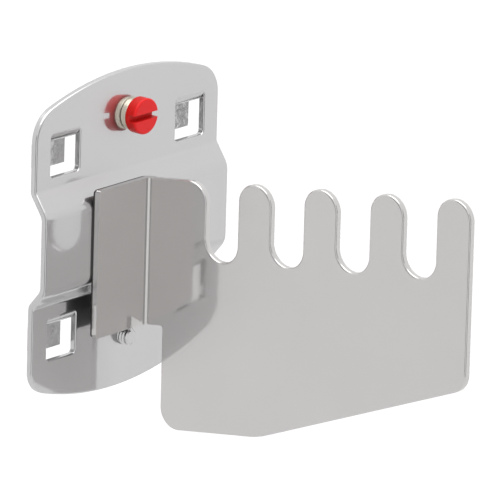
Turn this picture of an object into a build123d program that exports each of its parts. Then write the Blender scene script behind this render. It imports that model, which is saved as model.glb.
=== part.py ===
"""Hook rack for a perforated tool panel: base plate, comb bracket, locking screw.

Frame: the panel's front is the plane y = 0, +Z is up, and the tools hang out along -Y.
The origin is the middle of the four hanging slots. All sizes are in millimetres.
"""
from build123d import *
import math
import os

# --- Driving dimensions ------------------------------------------------------------------
panel_pitch = 38.0          # spacing of the panel's holes, both ways
panel_gap = 2.4             # room for the panel's sheet between plate and hook

plate_sheet = 1.5           # thickness of the base plate
plate_width = 55.6
plate_top = 32.7            # crowns of the top and bottom edges
plate_bottom = -33.0
crown_radius = 73.0         # radius of the crowned edges
lower_crown = -3.0          # the lower edge's crown sits this far to the left
top_corner = 6.8
bottom_corner = 5.2

raise_height = 3.05         # how far the middle band stands off the panel
band_top = 7.5              # flat of the raised band
band_bottom = -7.6
pad_top = 11.9              # where the upper and lower pads lie on the panel again
pad_bottom = -11.25
raise_bend = 2.5            # bend radius of the raised band, on the panel side

slot_width = 8.7            # hanging slots
slot_height = 8.9
slot_corner = 0.8
hook_width = 8.3            # tongue bent back out of each slot
hook_bend = 1.15            # inside bend radius of the tongue
hook_drop = 5.8             # how far the tongue reaches down behind the panel

comb_sheet = 1.5            # thickness of the comb bracket
comb_face = 1.35            # x of the comb's left face
bracket_bend = 1.0          # inside bend radius between flange and comb
flange_reach = 15.1         # flange width, left of the comb's left face
flange_top = 10.85
flange_bottom = -19.8
flange_corner = 0.8

comb_rise = math.tan(math.radians(8.5))   # the comb climbs away from the wall
tooth_count = 4
tooth_pitch = 16.86
tooth_width = 8.43
first_tooth = 33.75         # distance of the first tooth's middle from the panel
tooth_height = 16.5         # tip to the bottom of the slot beside it
neck_reach = 10.5           # distance of the comb's inner edge from the panel
body_bottom = -40.9         # height of the lower edge at that inner edge
break_reach = 36.1          # where the lower edge turns up towards the end
end_slope = math.tan(math.radians(22.2))
comb_corner = 4.2
neck_corner = 0.6
break_radius = 20.0

screw_height = 23.5         # locking screw above the middle
screw_side = 0.6            # and to the right of it
pin_height = -22.8          # lower pin below it
thread_radius = 2.0
running_clearance = 0.05
cap_radius = 3.7
cap_thickness = 2.7
cap_stand = 4.2             # front of the red cap, off the plate's front
cap_slot_width = 1.35
cap_slot_depth = 1.5
cap_round = 0.4
screw_in_cap = 0.8          # depth of the screw's end inside the cap
screw_tip = 0.6             # how far the screw's tip stands behind the plate
tip_chamfer = 0.4
washer_radius = 3.3
washer_thickness = 1.45
washer_round = 0.25
pin_radius = 1.85
pin_stand = 2.25            # how far the lower pin stands off the plate
pin_round = 0.3

edge_round = 0.35           # tumbled edges of the base plate
comb_round = 0.3            # tumbled edges of the comb bracket

# --- Worked-out positions ----------------------------------------------------------------
plate_front = -plate_sheet
band_front = -(raise_height + plate_sheet)
flange_front = band_front - comb_sheet
saddle = slot_height / 2 - plate_sheet / 2 - hook_bend / 2   # middle of the tongue's level run
rise_start = -flange_front + bracket_bend
comb_end = first_tooth + (tooth_count - 1) * tooth_pitch + tooth_width / 2
arm_reach = first_tooth - tooth_pitch + tooth_width / 2    # outer edge of the short arm
cap_front = plate_front - cap_stand
cap_back = cap_front + cap_thickness
washer_back = cap_back + washer_thickness
through = 60.0              # long enough to cut or trim right through


def top_edge(x):
    """Height of the plate's crowned top edge."""
    return plate_top - crown_radius + math.sqrt(crown_radius**2 - x**2)


def bottom_edge(x):
    """Height of the plate's crowned bottom edge."""
    return plate_bottom + crown_radius - math.sqrt(crown_radius**2 - (x - lower_crown) ** 2)


def comb_top(reach):
    """Height of the line that the arm and the tooth tips follow."""
    return flange_top + comb_rise * (reach - rise_start)


def comb_bottom(reach):
    """Height of the lower edge before it turns up."""
    return body_bottom + comb_rise * (reach - neck_reach)


end_bottom = comb_bottom(break_reach) + end_slope * (comb_end - break_reach)
neck_bottom = flange_bottom + comb_rise * (neck_reach - rise_start)

os.makedirs("parts", exist_ok=True)

# --- Base plate --------------------------------------------------------------------------
# A strip with a raised middle band, trimmed to the crowned outline. Each slot's tongue
# stays joined above the slot, and is bent back and down to hook behind the panel.
with BuildPart() as base_plate:
    with BuildSketch(Plane.YZ):
        with BuildLine():
            FilletPolyline(
                (0, plate_top + 1),
                (0, pad_top),
                (-raise_height, band_top),
                (-raise_height, band_bottom),
                (0, pad_bottom),
                (0, plate_bottom - 1),
                radius=raise_bend,
            )
            offset(amount=plate_sheet, side=Side.RIGHT)
        make_face()
    extrude(amount=plate_width / 2 + 1, both=True)
    with BuildSketch(Plane.XZ):
        with BuildLine():
            side = plate_width / 2
            top = ThreePointArc((-side, top_edge(side)), (0, plate_top), (side, top_edge(side)))
            right = Line(top @ 1, (side, bottom_edge(side)))
            bottom = ThreePointArc(right @ 1, (lower_crown, plate_bottom), (-side, bottom_edge(-side)))
            Line(bottom @ 1, top @ 0)
        make_face()
        fillet(vertices().group_by(Axis.Y)[-1], radius=top_corner)
        fillet(vertices().sort_by_distance((-side, bottom_edge(-side)))[0], radius=bottom_corner)
        fillet(vertices().sort_by_distance((side, bottom_edge(side)))[0], radius=bottom_corner)
        with GridLocations(panel_pitch, panel_pitch, 2, 2):
            RectangleRounded(slot_width, slot_height, slot_corner, mode=Mode.SUBTRACT)
    extrude(amount=through, both=True, mode=Mode.INTERSECT)
    # every edge between a wide face of the sheet and its rim
    sheet_faces = faces().filter_by(lambda face: abs(face.normal_at().Y) > 0.5)
    rim_faces = faces().filter_by(lambda face: abs(face.normal_at().Y) < 0.5)
    fillet(sheet_faces.edges().filter_by(lambda edge: edge in rim_faces.edges()), edge_round)
    for slot_x in (-panel_pitch / 2, panel_pitch / 2):
        for slot_z in (-panel_pitch / 2, panel_pitch / 2):
            with BuildSketch(Plane.YZ.offset(slot_x)):
                with BuildLine():
                    FilletPolyline(
                        (-plate_sheet / 2, slot_z + slot_height / 2 + edge_round + 1),
                        (-plate_sheet / 2, slot_z + saddle),
                        (panel_gap + plate_sheet / 2, slot_z + saddle),
                        (panel_gap + plate_sheet / 2, slot_z + saddle - plate_sheet / 2 - hook_drop),
                        radius=hook_bend + plate_sheet / 2,
                    )
                trace(line_width=plate_sheet)
            extrude(amount=hook_width / 2, both=True)
    with BuildSketch(Plane.XZ):
        with Locations((screw_side, screw_height)):
            Circle(thread_radius + running_clearance)
        with Locations((0, pin_height)):
            Circle(pin_radius)
    extrude(amount=through, both=True, mode=Mode.SUBTRACT)
base_plate.part.label = "base_plate"
export_step(base_plate.part, "parts/base_plate.step")

# --- Comb bracket ------------------------------------------------------------------------
# One bent sheet: the flange lies flat on the raised band, and the comb stands out from it.
with BuildPart() as comb_bracket:
    with BuildSketch():
        with BuildLine():
            FilletPolyline(
                (comb_face - flange_reach, flange_front),
                (comb_face, flange_front),
                (comb_face, -comb_end - 1),
                radius=bracket_bend,
            )
            offset(amount=comb_sheet, side=Side.LEFT)
        make_face()
    extrude(amount=through, both=True)
    with BuildSketch(Plane.YZ):
        with BuildLine():
            Polyline(
                (0, flange_top),
                (-rise_start, flange_top),
                (-comb_end, comb_top(comb_end)),
                (-comb_end, end_bottom),
                (-break_reach, comb_bottom(break_reach)),
                (-neck_reach, comb_bottom(neck_reach)),
                (-neck_reach, neck_bottom),
                (-rise_start, flange_bottom),
                (0, flange_bottom),
                close=True,
            )
        make_face()
        turns = (
            (comb_end, end_bottom, comb_corner),
            (neck_reach, comb_bottom(neck_reach), comb_corner),
            (neck_reach, neck_bottom, neck_corner),
            (break_reach, comb_bottom(break_reach), break_radius),
        )
        for reach, height, radius in turns:
            fillet(vertices().sort_by_distance((-reach, height))[0], radius)
        # slots, and the gaps that round the arm's corner and the tooth tips
        for tooth in range(tooth_count):
            middle = first_tooth + tooth * tooth_pitch
            slot_middle = middle - tooth_pitch / 2
            slot_floor = comb_top(slot_middle) - tooth_height + tooth_width / 2
            with Locations((-slot_middle, slot_floor)):
                Circle(tooth_width / 2, mode=Mode.SUBTRACT)
            with Locations((-slot_middle, slot_floor + tooth_height)):
                Rectangle(tooth_width, 2 * tooth_height, mode=Mode.SUBTRACT)
            with BuildLine():
                top = comb_top(middle) - tooth_width / 2
                left = Line(
                    (-middle - tooth_width / 2, top + tooth_width), (-middle - tooth_width / 2, top)
                )
                tip = ThreePointArc(
                    left @ 1, (-middle, comb_top(middle)), (-middle + tooth_width / 2, top)
                )
                right = Line(tip @ 1, (-middle + tooth_width / 2, top + tooth_width))
                Line(right @ 1, left @ 0)
            make_face(mode=Mode.SUBTRACT)
        fillet(vertices().sort_by_distance((-arm_reach, comb_top(arm_reach)))[0], comb_corner)
    extrude(amount=through, both=True, mode=Mode.INTERSECT)
    flange_edge = faces().sort_by(Axis.X)[0]
    fillet(flange_edge.edges().filter_by(Axis.Y), flange_corner)
    for side in (0, 1):
        comb_side = faces().filter_by(Axis.X).sort_by(SortBy.AREA)[-2:].sort_by(Axis.X)[side]
        # all but the last of these edges, which is where the comb runs into the bend
        fillet(comb_side.edges().sort_by(Axis.Y)[:-1], comb_round)
comb_bracket.part.label = "comb_bracket"
export_step(comb_bracket.part, "parts/comb_bracket.step")

# --- Locking screw -----------------------------------------------------------------------
# It turns in the plate's tapped hole, and its tip presses the panel back against the hooks.
with BuildPart() as lock_screw:
    with BuildSketch(Plane.XZ.offset(-cap_back + screw_in_cap)):
        with Locations((screw_side, screw_height)):
            Circle(thread_radius)
    extrude(amount=cap_back - screw_in_cap - screw_tip)
    chamfer(faces().sort_by(Axis.Y)[-1].edges(), tip_chamfer)
lock_screw.part.label = "lock_screw"
export_step(lock_screw.part, "parts/lock_screw.step")

# --- Red cap, moulded over the end of the screw ------------------------------------------
with BuildPart() as screw_cap:
    with BuildSketch(Plane.XZ.offset(-cap_back)):
        with Locations((screw_side, screw_height)):
            Circle(cap_radius)
    extrude(amount=cap_thickness)
    with BuildSketch(Plane.XZ.offset(-cap_front)):
        with Locations((screw_side, screw_height)):
            Rectangle(3 * cap_radius, cap_slot_width)
    extrude(amount=-cap_slot_depth, mode=Mode.SUBTRACT)
    outer_rims = edges().filter_by(GeomType.CIRCLE)
    fillet(outer_rims.filter_by(lambda edge: abs(edge.center().Y) > 0), cap_round)
    with BuildSketch(Plane.XZ.offset(-cap_back)):
        with Locations((screw_side, screw_height)):
            Circle(thread_radius)
    extrude(amount=screw_in_cap, mode=Mode.SUBTRACT)
screw_cap.part.label = "screw_cap"
export_step(screw_cap.part, "parts/screw_cap.step")

# --- Washer under the cap ----------------------------------------------------------------
with BuildPart() as screw_washer:
    with BuildSketch(Plane.XZ.offset(-washer_back)):
        with Locations((screw_side, screw_height)):
            Circle(washer_radius)
            Circle(thread_radius + running_clearance, mode=Mode.SUBTRACT)
    extrude(amount=washer_thickness)
    fillet(edges().filter_by(GeomType.CIRCLE).group_by(SortBy.RADIUS)[-1], washer_round)
screw_washer.part.label = "screw_washer"
export_step(screw_washer.part, "parts/screw_washer.step")

# --- Lower pin, pressed into the plate ---------------------------------------------------
with BuildPart() as lower_pin:
    with BuildSketch(Plane.XZ):
        with Locations((0, pin_height)):
            Circle(pin_radius)
    extrude(amount=plate_sheet + pin_stand)
    fillet(faces().sort_by(Axis.Y)[0].edges(), pin_round)
lower_pin.part.label = "lower_pin"
export_step(lower_pin.part, "parts/lower_pin.step")
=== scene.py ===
import bpy
import bmesh
import math
from mathutils import Matrix, Vector


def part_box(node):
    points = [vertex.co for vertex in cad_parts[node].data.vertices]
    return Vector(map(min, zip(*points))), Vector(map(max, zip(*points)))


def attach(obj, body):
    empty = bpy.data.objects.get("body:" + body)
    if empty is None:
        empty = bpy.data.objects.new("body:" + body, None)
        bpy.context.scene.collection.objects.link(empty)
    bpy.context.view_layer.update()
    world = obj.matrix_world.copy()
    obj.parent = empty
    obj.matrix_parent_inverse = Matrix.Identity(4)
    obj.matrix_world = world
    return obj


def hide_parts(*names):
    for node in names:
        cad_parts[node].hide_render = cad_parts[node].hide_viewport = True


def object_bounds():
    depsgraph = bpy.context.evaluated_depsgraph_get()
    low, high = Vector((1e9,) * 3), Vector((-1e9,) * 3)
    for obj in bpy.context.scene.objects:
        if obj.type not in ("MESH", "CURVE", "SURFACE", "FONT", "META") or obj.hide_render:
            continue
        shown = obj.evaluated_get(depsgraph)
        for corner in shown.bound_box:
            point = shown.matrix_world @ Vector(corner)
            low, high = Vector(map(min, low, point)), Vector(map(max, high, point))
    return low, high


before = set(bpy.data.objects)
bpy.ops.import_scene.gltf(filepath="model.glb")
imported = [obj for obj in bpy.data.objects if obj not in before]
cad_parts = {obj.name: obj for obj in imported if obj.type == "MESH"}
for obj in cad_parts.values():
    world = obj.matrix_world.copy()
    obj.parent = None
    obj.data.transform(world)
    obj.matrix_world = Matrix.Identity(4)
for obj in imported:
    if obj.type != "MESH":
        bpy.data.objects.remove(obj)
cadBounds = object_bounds()
print("frame loaded:", ", ".join(sorted(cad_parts)))


def newObject(name, bm, material, smooth=True):
    mesh = bpy.data.meshes.new(name)
    bm.to_mesh(mesh)
    bm.free()
    for polygon in mesh.polygons:
        polygon.use_smooth = smooth
    piece = bpy.data.objects.new(name, mesh)
    bpy.context.scene.collection.objects.link(piece)
    mesh.materials.append(material)
    return piece


def mathNode(nodes, operation, first=None, second=None):
    node = nodes.new("ShaderNodeMath")
    node.operation = operation
    if first is not None:
        node.inputs[0].default_value = first
    if second is not None:
        node.inputs[1].default_value = second
    return node


def rangeNode(nodes, fromMin, fromMax, toMin, toMax, smooth=False):
    node = nodes.new("ShaderNodeMapRange")
    if smooth:
        node.interpolation_type = "SMOOTHSTEP"
    node.inputs["From Min"].default_value = fromMin
    node.inputs["From Max"].default_value = fromMax
    node.inputs["To Min"].default_value = toMin
    node.inputs["To Max"].default_value = toMax
    return node


def noiseNode(nodes, scale, detail=2.0):
    node = nodes.new("ShaderNodeTexNoise")
    node.inputs["Scale"].default_value = scale
    node.inputs["Detail"].default_value = detail
    return node


def socketValue(kind, value):
    # a colour socket wants its alpha too
    return (*value, 1) if kind == "NodeSocketColor" else value


finishInputs = (    # socket, its kind, the value where a look gives none, its name in a look
    ("Tint", "NodeSocketColor", (0.58, 0.58, 0.58), "tint"),
    ("Cloud", "NodeSocketFloat", 0.03, "cloud"),
    ("Base Roughness", "NodeSocketFloat", 0.1, "roughness"),
    ("Line Stretch", "NodeSocketVector", (1, 1, 1), "stretch"),
    ("Waviness", "NodeSocketFloat", 0.02, "waviness"),
    ("Lean", "NodeSocketVector", (0, 0, 0), "lean"),
    ("Lean Height", "NodeSocketFloat", -1.0, "leanHeight"),
    ("Lean Crest", "NodeSocketFloat", 1.0, "leanCrest"),
    ("Crest Share", "NodeSocketFloat", 1.0, "crestShare"),
    ("Crumple", "NodeSocketFloat", 0.0, "crumple"),
    # the two seam entries paint shade where one sheet lies on the other
    ("Seam Level", "NodeSocketFloat", 1.0, "seamLevel"),
    ("Seam Painted Shade", "NodeSocketFloat", 0.0, "seamPaintedShade"),
    ("Wiped Centre", "NodeSocketVector", (0, 0, 9), "wipedCentre"),
    ("Wiped Radius", "NodeSocketFloat", 0.01, "wipedRadius"),
    ("Wiped Dullness", "NodeSocketFloat", 0.0, "wipedDullness"),
)
finishOutputs = (
    ("Colour", "NodeSocketColor"), ("Roughness", "NodeSocketFloat"), ("Normal", "NodeSocketVector"))
patterns = {    # noise scales are per metre, and distances are in metres
    "cloudScale": 70, "cloudDetail": 3,
    "lineScale": 900, "lineSpread": 0.03,
    "waveScale": 45, "waveDetail": 1, "waveDepth": 0.0005,
    "dentScale": 620, "dentDepth": 0.0006, "dentFrom": -0.0006, "dentFull": 0.0008,
    "seamBlur": 0.0001, "ringFull": 0.0012, "ringGone": 0.0038,
    "crestBlur": 0.003, "footFrom": -0.0085, "footFull": -0.0065, "footExtra": 0.25,
}


def makeFinishGroup():
    # what bright plating shows close up: roller lines, soft clouds, a slow waviness and a lean
    group = bpy.data.node_groups.new("platedFinish", "ShaderNodeTree")
    for name, kind, default, key in finishInputs:
        socket = group.interface.new_socket(name=name, in_out="INPUT", socket_type=kind)
        socket.default_value = socketValue(kind, default)
    for name, kind in finishOutputs:
        group.interface.new_socket(name=name, in_out="OUTPUT", socket_type=kind)
    nodes, links = group.nodes, group.links
    given = nodes.new("NodeGroupInput")
    result = nodes.new("NodeGroupOutput")
    coord = nodes.new("ShaderNodeTexCoord")

    cloud = noiseNode(nodes, patterns["cloudScale"], patterns["cloudDetail"])
    links.new(coord.outputs["Object"], cloud.inputs["Vector"])
    centred = mathNode(nodes, "SUBTRACT", second=0.5)
    links.new(cloud.outputs["Fac"], centred.inputs[0])
    gain = mathNode(nodes, "MULTIPLY_ADD")
    gain.inputs[2].default_value = 1.0
    links.new(centred.outputs[0], gain.inputs[0])
    links.new(given.outputs["Cloud"], gain.inputs[1])
    # painted shade in the seam where one sheet lies on the other: past the seam level in Y the
    # colour is darkened
    place = nodes.new("ShaderNodeSeparateXYZ")
    links.new(coord.outputs["Object"], place.inputs[0])
    intoSeam = mathNode(nodes, "SUBTRACT")
    links.new(place.outputs["Y"], intoSeam.inputs[0])
    links.new(given.outputs["Seam Level"], intoSeam.inputs[1])
    seam = rangeNode(nodes, -patterns["seamBlur"], patterns["seamBlur"], 0, 1, smooth=True)
    links.new(intoSeam.outputs[0], seam.inputs["Value"])
    seamShade = mathNode(nodes, "MULTIPLY")
    links.new(seam.outputs["Result"], seamShade.inputs[0])
    links.new(given.outputs["Seam Painted Shade"], seamShade.inputs[1])
    unshadedShare = mathNode(nodes, "SUBTRACT", first=1.0)
    links.new(seamShade.outputs[0], unshadedShare.inputs[1])
    shade = mathNode(nodes, "MULTIPLY")
    links.new(gain.outputs[0], shade.inputs[0])
    links.new(unshadedShare.outputs[0], shade.inputs[1])
    tinted = nodes.new("ShaderNodeVectorMath")
    tinted.operation = "SCALE"
    links.new(given.outputs["Tint"], tinted.inputs[0])
    links.new(shade.outputs[0], tinted.inputs["Scale"])
    links.new(tinted.outputs["Vector"], result.inputs["Colour"])

    stretched = nodes.new("ShaderNodeVectorMath")
    stretched.operation = "MULTIPLY"
    links.new(coord.outputs["Object"], stretched.inputs[0])
    links.new(given.outputs["Line Stretch"], stretched.inputs[1])
    lines = noiseNode(nodes, patterns["lineScale"])
    links.new(stretched.outputs["Vector"], lines.inputs["Vector"])
    spread = rangeNode(nodes, 0, 1, -patterns["lineSpread"], patterns["lineSpread"])
    links.new(lines.outputs["Fac"], spread.inputs["Value"])
    rough = mathNode(nodes, "ADD")
    links.new(spread.outputs["Result"], rough.inputs[0])
    links.new(given.outputs["Base Roughness"], rough.inputs[1])
    # the plating is duller in a ring where fingers reach round the screw
    apartness = nodes.new("ShaderNodeVectorMath")
    apartness.operation = "DISTANCE"
    links.new(coord.outputs["Object"], apartness.inputs[0])
    links.new(given.outputs["Wiped Centre"], apartness.inputs[1])
    fromRing = mathNode(nodes, "SUBTRACT")
    links.new(apartness.outputs["Value"], fromRing.inputs[0])
    links.new(given.outputs["Wiped Radius"], fromRing.inputs[1])
    offRing = mathNode(nodes, "ABSOLUTE")
    links.new(fromRing.outputs[0], offRing.inputs[0])
    ring = rangeNode(nodes, patterns["ringFull"], patterns["ringGone"], 1, 0, smooth=True)
    links.new(offRing.outputs[0], ring.inputs["Value"])
    wiped = mathNode(nodes, "MULTIPLY_ADD")
    links.new(ring.outputs["Result"], wiped.inputs[0])
    links.new(given.outputs["Wiped Dullness"], wiped.inputs[1])
    links.new(rough.outputs[0], wiped.inputs[2])
    links.new(wiped.outputs[0], result.inputs["Roughness"])

    wave = noiseNode(nodes, patterns["waveScale"], patterns["waveDetail"])
    links.new(coord.outputs["Object"], wave.inputs["Vector"])
    bump = nodes.new("ShaderNodeBump")
    bump.inputs["Distance"].default_value = patterns["waveDepth"]
    links.new(given.outputs["Waviness"], bump.inputs["Strength"])
    links.new(wave.outputs["Fac"], bump.inputs["Height"])

    # tongues bent back through the panel are crumpled by the tool
    behind = rangeNode(nodes, patterns["dentFrom"], patterns["dentFull"], 0, 1, smooth=True)
    links.new(place.outputs["Y"], behind.inputs["Value"])
    crumpling = mathNode(nodes, "MULTIPLY")
    links.new(behind.outputs["Result"], crumpling.inputs[0])
    links.new(given.outputs["Crumple"], crumpling.inputs[1])
    dents = noiseNode(nodes, patterns["dentScale"])
    links.new(coord.outputs["Object"], dents.inputs["Vector"])
    dented = nodes.new("ShaderNodeBump")
    dented.inputs["Distance"].default_value = patterns["dentDepth"]
    links.new(crumpling.outputs[0], dented.inputs["Strength"])
    links.new(dents.outputs["Fac"], dented.inputs["Height"])
    links.new(bump.outputs["Normal"], dented.inputs["Normal"])

    # the pressed sheet isn't dead flat: above a height its surface leans a little
    above = mathNode(nodes, "GREATER_THAN")
    links.new(place.outputs["Z"], above.inputs[0])
    links.new(given.outputs["Lean Height"], above.inputs[1])
    past = mathNode(nodes, "SUBTRACT")
    links.new(place.outputs["Z"], past.inputs[0])
    links.new(given.outputs["Lean Crest"], past.inputs[1])
    crest = rangeNode(nodes, -patterns["crestBlur"], patterns["crestBlur"], 0, 1, smooth=True)
    links.new(past.outputs[0], crest.inputs["Value"])
    foot = rangeNode(
        nodes, patterns["footFrom"], patterns["footFull"], 0, patterns["footExtra"], smooth=True)
    links.new(past.outputs[0], foot.inputs["Value"])
    belly = mathNode(nodes, "ADD", second=1.0)
    links.new(foot.outputs["Result"], belly.inputs[0])
    share = nodes.new("ShaderNodeMix")
    links.new(belly.outputs[0], share.inputs["A"])
    links.new(crest.outputs["Result"], share.inputs["Factor"])
    links.new(given.outputs["Crest Share"], share.inputs["B"])
    amount = mathNode(nodes, "MULTIPLY")
    links.new(above.outputs[0], amount.inputs[0])
    links.new(share.outputs["Result"], amount.inputs[1])
    lean = nodes.new("ShaderNodeVectorMath")
    lean.operation = "SCALE"
    links.new(given.outputs["Lean"], lean.inputs[0])
    links.new(amount.outputs[0], lean.inputs["Scale"])
    leaning = nodes.new("ShaderNodeVectorMath")
    links.new(dented.outputs["Normal"], leaning.inputs[0])
    links.new(lean.outputs["Vector"], leaning.inputs[1])
    unit = nodes.new("ShaderNodeVectorMath")
    unit.operation = "NORMALIZE"
    links.new(leaning.outputs["Vector"], unit.inputs[0])
    links.new(unit.outputs["Vector"], result.inputs["Normal"])
    return group


finishGroup = makeFinishGroup()


def platedMetal(name, look):
    # two metal lobes, one clear and one hazy, as on bright zinc
    material = bpy.data.materials.new(name)
    material.use_nodes = True
    nodes, links = material.node_tree.nodes, material.node_tree.links
    clear = nodes["Principled BSDF"]
    hazy = nodes.new("ShaderNodeBsdfPrincipled")
    finish = nodes.new("ShaderNodeGroup")
    finish.node_tree = finishGroup
    for socket, kind, default, key in finishInputs:
        finish.inputs[socket].default_value = socketValue(kind, look.get(key, default))
    for shader in (clear, hazy):
        shader.inputs["Metallic"].default_value = 1.0
        links.new(finish.outputs["Colour"], shader.inputs["Base Color"])
        links.new(finish.outputs["Normal"], shader.inputs["Normal"])
    links.new(finish.outputs["Roughness"], clear.inputs["Roughness"])
    hazy.inputs["Roughness"].default_value = look["hazeRoughness"]
    mix = nodes.new("ShaderNodeMixShader")
    mix.inputs["Fac"].default_value = look["haze"]
    links.new(clear.outputs["BSDF"], mix.inputs[1])
    links.new(hazy.outputs["BSDF"], mix.inputs[2])
    links.new(mix.outputs["Shader"], nodes["Material Output"].inputs["Surface"])
    return material


def mouldedPlastic(name, look):
    material = bpy.data.materials.new(name)
    material.use_nodes = True
    nodes, links = material.node_tree.nodes, material.node_tree.links
    shader = nodes["Principled BSDF"]
    shader.inputs["Specular IOR Level"].default_value = look["specular"]
    coord = nodes.new("ShaderNodeTexCoord")
    flow = noiseNode(nodes, look["flowScale"])
    links.new(coord.outputs["Object"], flow.inputs["Vector"])
    mix = nodes.new("ShaderNodeMix")
    mix.data_type = "RGBA"
    mix.inputs["A"].default_value = (*look["deep"], 1)
    mix.inputs["B"].default_value = (*look["tint"], 1)
    links.new(flow.outputs["Fac"], mix.inputs["Factor"])
    # painted shade: from half a face depth behind the front face, the sides and the slot turn to a
    # darker red
    apart = nodes.new("ShaderNodeSeparateXYZ")
    links.new(coord.outputs["Object"], apart.inputs[0])
    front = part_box("screw_cap")[0][1]
    back = rangeNode(nodes, front + look["faceDepth"] / 2, front + look["faceDepth"], 0, 1)
    links.new(apart.outputs["Y"], back.inputs["Value"])
    paintedSideShade = nodes.new("ShaderNodeMix")
    paintedSideShade.data_type = "RGBA"
    links.new(back.outputs["Result"], paintedSideShade.inputs["Factor"])
    links.new(mix.outputs["Result"], paintedSideShade.inputs["A"])
    paintedSideShade.inputs["B"].default_value = (*look["side"], 1)
    links.new(paintedSideShade.outputs["Result"], shader.inputs["Base Color"])
    grain = noiseNode(nodes, look["grainScale"])
    links.new(coord.outputs["Object"], grain.inputs["Vector"])
    spread = rangeNode(
        nodes, 0, 1, look["roughness"] - look["smoother"], look["roughness"] + look["rougher"])
    links.new(grain.outputs["Fac"], spread.inputs["Value"])
    links.new(spread.outputs["Result"], shader.inputs["Roughness"])
    bump = nodes.new("ShaderNodeBump")
    bump.inputs["Strength"].default_value = look["grainStrength"]
    bump.inputs["Distance"].default_value = look["grainDepth"]
    links.new(grain.outputs["Fac"], bump.inputs["Height"])
    links.new(bump.outputs["Normal"], shader.inputs["Normal"])
    return material


plateLook = {
    "tint": (0.585, 0.58, 0.583), "roughness": 0.07, "stretch": (1, 1, 12), "cloud": 0.05,
    "waviness": 0.04, "haze": 0.3, "hazeRoughness": 0.38, "lean": (0.016, 0, 0.145),
    "leanHeight": -0.0085, "leanCrest": 0.018, "crestShare": 0.7, "crumple": 0.9,
    "wipedCentre": (0.0006, -0.0015, 0.0235), "wipedRadius": 0.0105, "wipedDullness": 0.09,
}
combLook = {
    "tint": (0.618, 0.605, 0.598), "roughness": 0.07, "stretch": (12, 12, 1), "cloud": 0.05,
    "waviness": 0.04, "haze": 0.3, "hazeRoughness": 0.38, "lean": (0, -0.02, -0.05),
    # the seam values paint shade on the flange's rear edge, in the gap against the plate
    "seamLevel": -0.00496, "seamPaintedShade": 0.88,
}
steelLook = {
    "tint": (0.62, 0.60, 0.56), "roughness": 0.16, "stretch": (1, 20, 1), "cloud": 0.1,
    "waviness": 0.0, "haze": 0.2, "hazeRoughness": 0.5,
}
washerLook = dict(steelLook, tint=(0.80, 0.74, 0.62), roughness=0.25)
pinLook = dict(steelLook, tint=(0.585, 0.58, 0.583), roughness=0.1)
capLook = {
    # the side colour is painted shade on the cap's sides and slot
    "tint": (0.69, 0.012, 0.014), "deep": (0.61, 0.010, 0.010), "side": (0.52, 0.006, 0.004),
    "faceDepth": 0.0006, "roughness": 0.35, "smoother": 0.05, "rougher": 0.07, "specular": 0.22,
    "flowScale": 260, "grainScale": 3500, "grainStrength": 0.15, "grainDepth": 0.00002,
}
plateFinish = platedMetal("brightPlateFinish", plateLook)
combFinish = platedMetal("brightCombFinish", combLook)
steelFinish = platedMetal("turnedSteelFinish", steelLook)
pinFinish = platedMetal("pinFinish", pinLook)
washerFinish = platedMetal("washerFinish", washerLook)
redPlastic = mouldedPlastic("redCapPlastic", capLook)
print("materials made")

screwSizes = {
    "coreRadius": 0.00168, "ridge": 0.0003, "pitch": 0.0007, "chamfer": 0.0004,
    "stepsPerTurn": 36, "sides": 64, "sharpAngle": 30,
}
pinSizes = {
    "coreRadius": 0.00158, "ridge": 0.00025, "pitch": 0.0007, "chamfer": 0.0003,
    "stepsPerTurn": 36, "sides": 64, "sharpAngle": 30,
}


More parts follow.
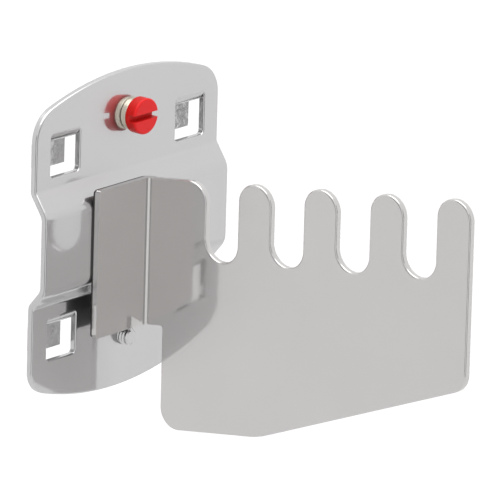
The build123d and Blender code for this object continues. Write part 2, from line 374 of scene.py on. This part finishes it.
def makeThreadTree():
    # a core with a ridge wound round it along its own Z axis, which Turn lays along Y
    tree = bpy.data.node_groups.new("threadedRod", "GeometryNodeTree")
    wanted = (
        ("Length", "NodeSocketFloat"), ("Core Radius", "NodeSocketFloat"),
        ("Ridge", "NodeSocketFloat"), ("Pitch", "NodeSocketFloat"),
        ("Chamfer", "NodeSocketFloat"), ("Steps Per Turn", "NodeSocketInt"),
        ("Sides", "NodeSocketInt"), ("Place", "NodeSocketVector"),
        ("Turn", "NodeSocketVector"), ("Finish", "NodeSocketMaterial"))
    for name, kind in wanted:
        tree.interface.new_socket(name=name, in_out="INPUT", socket_type=kind)
    tree.interface.new_socket(name="Geometry", in_out="OUTPUT", socket_type="NodeSocketGeometry")
    nodes, links = tree.nodes, tree.links
    given = nodes.new("NodeGroupInput")
    result = nodes.new("NodeGroupOutput")

    def calc(operation, first, second):
        node = nodes.new("ShaderNodeMath")
        node.operation = operation
        for socket, value in zip(node.inputs, (first, second)):
            if isinstance(value, (int, float)):
                socket.default_value = value
            else:
                links.new(value, socket)
        return node.outputs[0]

    def upZ(amount):
        node = nodes.new("ShaderNodeCombineXYZ")
        links.new(amount, node.inputs["Z"])
        return node.outputs[0]

    def moved(geometry, shift):
        node = nodes.new("GeometryNodeTransform")
        links.new(geometry, node.inputs["Geometry"])
        links.new(shift, node.inputs["Translation"])
        return node.outputs["Geometry"]

    shank = calc("SUBTRACT", given.outputs["Length"], given.outputs["Chamfer"])
    winding = calc("SUBTRACT", shank, calc("MULTIPLY", given.outputs["Ridge"], 2.0))
    spiral = nodes.new("GeometryNodeCurveSpiral")    # as it comes, it winds left-handed
    links.new(given.outputs["Steps Per Turn"], spiral.inputs["Resolution"])
    links.new(calc("DIVIDE", winding, given.outputs["Pitch"]), spiral.inputs["Rotations"])
    links.new(given.outputs["Core Radius"], spiral.inputs["Start Radius"])
    links.new(given.outputs["Core Radius"], spiral.inputs["End Radius"])
    links.new(winding, spiral.inputs["Height"])
    upright = nodes.new("GeometryNodeSetCurveNormal")
    upright.mode = "Z_UP"
    links.new(spiral.outputs["Curve"], upright.inputs["Curve"])
    section = nodes.new("GeometryNodeCurvePrimitiveCircle")
    sectionCorners = 4    # a square on its corner makes a V-shaped ridge
    section.inputs["Resolution"].default_value = sectionCorners
    links.new(given.outputs["Ridge"], section.inputs["Radius"])
    ridge = nodes.new("GeometryNodeCurveToMesh")
    links.new(upright.outputs["Curve"], ridge.inputs["Curve"])
    links.new(section.outputs["Curve"], ridge.inputs["Profile Curve"])
    ridge.inputs["Fill Caps"].default_value = True

    core = nodes.new("GeometryNodeMeshCylinder")
    links.new(given.outputs["Sides"], core.inputs["Vertices"])
    links.new(given.outputs["Core Radius"], core.inputs["Radius"])
    links.new(shank, core.inputs["Depth"])
    tip = nodes.new("GeometryNodeMeshCone")
    links.new(given.outputs["Sides"], tip.inputs["Vertices"])
    links.new(given.outputs["Core Radius"], tip.inputs["Radius Bottom"])
    links.new(calc("SUBTRACT", given.outputs["Core Radius"], given.outputs["Chamfer"]),
              tip.inputs["Radius Top"])
    links.new(given.outputs["Chamfer"], tip.inputs["Depth"])

    join = nodes.new("GeometryNodeJoinGeometry")
    links.new(moved(ridge.outputs["Mesh"], upZ(given.outputs["Ridge"])), join.inputs[0])
    links.new(moved(core.outputs["Mesh"], upZ(calc("MULTIPLY", shank, 0.5))), join.inputs[0])
    links.new(moved(tip.outputs["Mesh"], upZ(shank)), join.inputs[0])
    laid = nodes.new("GeometryNodeTransform")
    links.new(given.outputs["Turn"], laid.inputs["Rotation"])
    links.new(join.outputs[0], laid.inputs["Geometry"])
    links.new(given.outputs["Place"], laid.inputs["Translation"])
    realized = nodes.new("GeometryNodeRealizeInstances")
    links.new(laid.outputs["Geometry"], realized.inputs[0])
    finished = nodes.new("GeometryNodeSetMaterial")
    links.new(realized.outputs[0], finished.inputs["Geometry"])
    links.new(given.outputs["Finish"], finished.inputs["Material"])
    links.new(finished.outputs["Geometry"], result.inputs["Geometry"])
    return tree


def bakeTree(name, tree, values):
    # the modifier's result as a plain mesh object
    holder = bpy.data.objects.new(name + "Holder", bpy.data.meshes.new(name + "Holder"))
    bpy.context.scene.collection.objects.link(holder)
    modifier = holder.modifiers.new("nodes", "NODES")
    modifier.node_group = tree
    identifiers = {item.name: item.identifier for item in tree.interface.items_tree
                   if item.in_out == "INPUT"}
    for key, value in values.items():
        modifier[identifiers[key]] = value
    bpy.context.view_layer.update()
    graph = bpy.context.evaluated_depsgraph_get()
    mesh = bpy.data.meshes.new_from_object(holder.evaluated_get(graph))
    holder.modifiers.remove(modifier)
    bpy.data.objects.remove(holder)
    mesh.name = name
    piece = bpy.data.objects.new(name, mesh)
    bpy.context.scene.collection.objects.link(piece)
    return piece


def makeThreaded(name, node, sizes, finish, tipAtBack):
    low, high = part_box(node)
    middle = [(low[i] + high[i]) / 2 for i in range(3)]
    start = low[1] if tipAtBack else high[1]
    quarter = math.pi / 2
    piece = bakeTree(name, threadTree, {
        "Length": high[1] - low[1], "Core Radius": sizes["coreRadius"],
        "Ridge": sizes["ridge"], "Pitch": sizes["pitch"], "Chamfer": sizes["chamfer"],
        "Steps Per Turn": sizes["stepsPerTurn"], "Sides": sizes["sides"],
        "Place": (middle[0], start, middle[2]),
        "Turn": (-quarter if tipAtBack else quarter, 0, 0), "Finish": finish})
    for polygon in piece.data.polygons:
        polygon.use_smooth = True
    piece.data.set_sharp_from_angle(angle=math.radians(sizes["sharpAngle"]))
    print(name, "wound:", len(piece.data.polygons), "faces")
    return piece


threadTree = makeThreadTree()
screw = makeThreaded("lockScrewThread", "lock_screw", screwSizes, steelFinish, True)
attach(screw, "screw")
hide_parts("lock_screw")
pin = makeThreaded("lowerPinThread", "lower_pin", pinSizes, pinFinish, False)
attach(pin, "rack")
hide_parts("lower_pin")

for node, finish in (
        ("base_plate", plateFinish), ("comb_bracket", combFinish), ("screw_cap", redPlastic),
        ("screw_washer", washerFinish)):
    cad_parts[node].data.materials.clear()
    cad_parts[node].data.materials.append(finish)


studio = {
    "floorDrop": 0.3, "floorFront": -0.6, "floorReach": 6.0,
    "floorGlow": 0.095, "floorShade": 0.5, "floorLift": 0.14,
    "worldLevel": 1.0, "topLevel": 3.0, "topFrom": 48, "topFull": 62,
    "cardRadius": 0.7, "cardLow": -0.32, "cardHigh": 0.3, "cardShade": 0.3,
    "cardHeadings": ((156, 196), (-110, -68)), "cardSteps": 12,
}
cameraView = {
    "azimuth": -50.3, "elevation": 16.411, "roll": 1.639,
    "distance": 2.141, "lens": 774.4, "sensor": 36, "clipEnd": 50,
    "target": (0.004803, -0.030, 0.000009),
}


def matteFinish(name, shade):
    material = bpy.data.materials.new(name)
    material.use_nodes = True
    shader = material.node_tree.nodes["Principled BSDF"]
    shader.inputs["Base Color"].default_value = (shade, shade, shade, 1)
    shader.inputs["Roughness"].default_value = 1.0
    shader.inputs["Specular IOR Level"].default_value = 0.0
    return material


def makeFloor():
    z = cadBounds[0][2] - studio["floorDrop"]
    front = studio["floorFront"]
    reach = studio["floorReach"]
    bm = bmesh.new()
    # it starts just in front of the rack and runs back under and behind it
    corners = [(-reach, front, z), (reach, front, z), (reach, reach, z), (-reach, reach, z)]
    bm.faces.new([bm.verts.new(c) for c in corners])
    floorFinish = matteFinish("paleFloor", studio["floorShade"])
    nodes, links = floorFinish.node_tree.nodes, floorFinish.node_tree.links
    shader = nodes["Principled BSDF"]
    shader.inputs["Emission Color"].default_value = (1, 1, 1, 1)
    # a little extra where the camera sees the floor itself, so that it stays white
    path = nodes.new("ShaderNodeLightPath")
    seen = rangeNode(
        nodes, 0, 1, studio["floorGlow"], studio["floorGlow"] + studio["floorLift"])
    links.new(path.outputs["Is Camera Ray"], seen.inputs["Value"])
    links.new(seen.outputs["Result"], shader.inputs["Emission Strength"])
    floor = newObject("floor", bm, floorFinish, smooth=False)


def makeCards():
    # grey cards on both sides, which only reflections show, draw a line along rounded edges
    cardFinish = matteFinish("darkCard", studio["cardShade"])
    bm = bmesh.new()
    radius, steps = studio["cardRadius"], studio["cardSteps"]
    for start, end in studio["cardHeadings"]:
        pairs = []
        for i in range(steps + 1):
            angle = math.radians(start + (end - start) * i / steps)
            x, y = radius * math.cos(angle), radius * math.sin(angle)
            pairs.append([bm.verts.new((x, y, z)) for z in (studio["cardLow"], studio["cardHigh"])])
        for first, second in zip(pairs, pairs[1:]):
            bm.faces.new((first[0], second[0], second[1], first[1]))
    cards = newObject("darkCards", bm, cardFinish)
    cards.visible_camera = False
    cards.visible_diffuse = False
    cards.visible_shadow = False


def makeWorld():
    # a white tent, brighter overhead
    world = bpy.data.worlds.new("studio")
    bpy.context.scene.world = world
    world.use_nodes = True
    nodes, links = world.node_tree.nodes, world.node_tree.links
    background = nodes["Background"]
    coord = nodes.new("ShaderNodeTexCoord")
    apart = nodes.new("ShaderNodeSeparateXYZ")
    links.new(coord.outputs["Generated"], apart.inputs[0])
    top = rangeNode(nodes, math.sin(math.radians(studio["topFrom"])),
                    math.sin(math.radians(studio["topFull"])),
                    studio["worldLevel"], studio["topLevel"], smooth=True)
    links.new(apart.outputs["Z"], top.inputs["Value"])
    links.new(top.outputs["Result"], background.inputs["Strength"])
    background.inputs["Color"].default_value = (1, 1, 1, 1)


def makeCamera(view):
    a, e, roll = (math.radians(view[k]) for k in ("azimuth", "elevation", "roll"))
    back = Vector((math.sin(a) * math.cos(e), -math.cos(a) * math.cos(e), math.sin(e)))
    level = Vector((math.cos(a), math.sin(a), 0))
    upright = back.cross(level)
    right = level * math.cos(roll) + upright * math.sin(roll)
    up = upright * math.cos(roll) - level * math.sin(roll)
    data = bpy.data.cameras.new("camera")
    data.lens = view["lens"]
    data.sensor_width = view["sensor"]
    data.clip_end = view["clipEnd"]
    camera = bpy.data.objects.new("camera", data)
    bpy.context.scene.collection.objects.link(camera)
    turn = Matrix((right, up, back)).transposed().to_4x4()
    camera.matrix_world = Matrix.Translation(
        Vector(view["target"]) + back * view["distance"]) @ turn
    bpy.context.scene.camera = camera


makeFloor()
makeCards()
makeWorld()
makeCamera(cameraView)
bpy.context.scene.view_settings.view_transform = "Standard"
print("studio set up")
